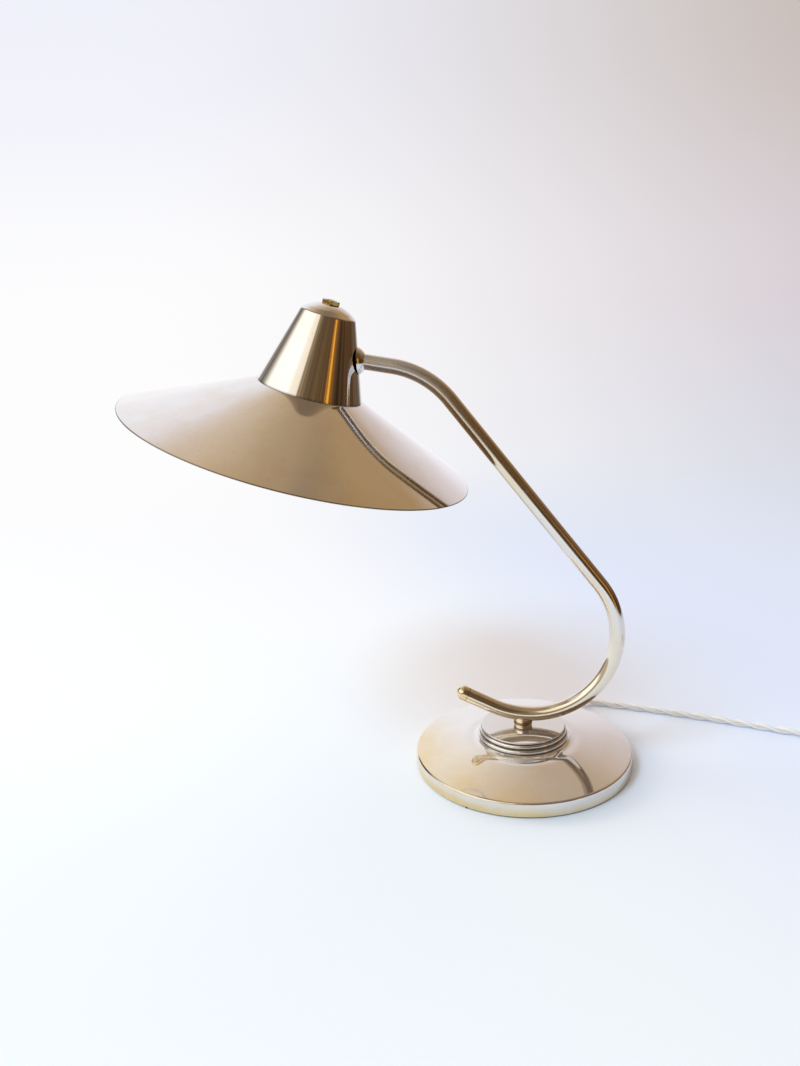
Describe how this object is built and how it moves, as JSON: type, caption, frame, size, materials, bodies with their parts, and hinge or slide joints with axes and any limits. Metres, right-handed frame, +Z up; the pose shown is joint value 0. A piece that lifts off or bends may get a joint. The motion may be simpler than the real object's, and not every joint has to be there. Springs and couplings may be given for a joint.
{
  "type": "desk lamp",
  "caption": "Plated desk lamp with a weighted round foot, a bent tube arm that swivels, a turning wide conical shade and a twisted cloth cord.",
  "frame": {"origin": "centre of the foot's underside, on the table and on the swivel axis", "axes": "+Z up along the swivel axis; the arm lies in the XZ plane and carries the head towards -X; the cord leaves towards +X and +Y"},
  "size_m": [0.713, 0.3041, 0.4082],
  "materials": {
    "nickel_plate": "polished nickel on brass, lightly worn",
    "brass": "turned brass",
    "steel": "plain",
    "cast_iron": "as cast",
    "felt": "felt",
    "porcelain": "glazed",
    "opal_glass": "opal",
    "ivory_plastic": "gloss",
    "rubber": "matt",
    "cloth_cord": "silky braid"
  },
  "bodies": {
    "base": {"base_felt": "felt", "base_weight": "cast_iron", "base_shell": "nickel_plate", "base_collar": "nickel_plate", "swivel_washer": "nickel_plate", "swivel_ring": "brass", "cord_grommet": "rubber", "base_lead": "cloth_cord", "cord_lead": "cloth_cord", "switch_lower_shell": "ivory_plastic", "switch_upper_shell": "ivory_plastic", "switch_screws": "steel", "cord_coil": "cloth_cord", "coil_tie": "rubber", "cord_tail": "cloth_cord", "plug_body": "ivory_plastic", "plug_pins": "brass"},
    "arm": {"arm_tube": "nickel_plate", "tail_cap": "nickel_plate", "swivel_stud": "nickel_plate", "stud_spring_washer": "steel", "stud_nut": "brass", "arm_wire": "cloth_cord", "arm_end_nipple": "brass", "arm_end_washer": "steel", "arm_end_nut": "brass"},
    "head": {"rosette": "nickel_plate", "saddle_washer": "brass", "cone_cap": "nickel_plate", "shade": "nickel_plate", "top_rod": "brass", "top_nut": "brass", "inner_lock_nut": "brass", "holder_cap": "brass", "holder_body": "brass", "holder_insert": "porcelain", "holder_thread": "brass", "holder_contact": "brass", "shade_ring": "brass", "bulb_cap": "brass", "bulb_glass": "opal_glass"},
    "rocker": {"switch_rocker": "ivory_plastic", "rocker_pin": "steel"}
  },
  "joints": [
    {"name": "arm_swivel", "type": "hinge", "parent": "base", "child": "arm", "pos_m": [0, 0, 0.0383], "axis": [0, 0, 1], "range_deg": [-160, 160]},
    {"name": "head_turn", "type": "hinge", "parent": "arm", "child": "head", "pos_m": [-0.13052, 0, 0.35753], "axis": [-0.9834, 0, 0.1812], "range_deg": [-90, 90]},
    {"name": "switch_rock", "type": "hinge", "parent": "base", "child": "rocker", "pos_m": [0.29701, 0.03576, 0.0133], "axis": [0.3587, 0.9335, 0], "range_deg": [0, 18]}
  ]
}
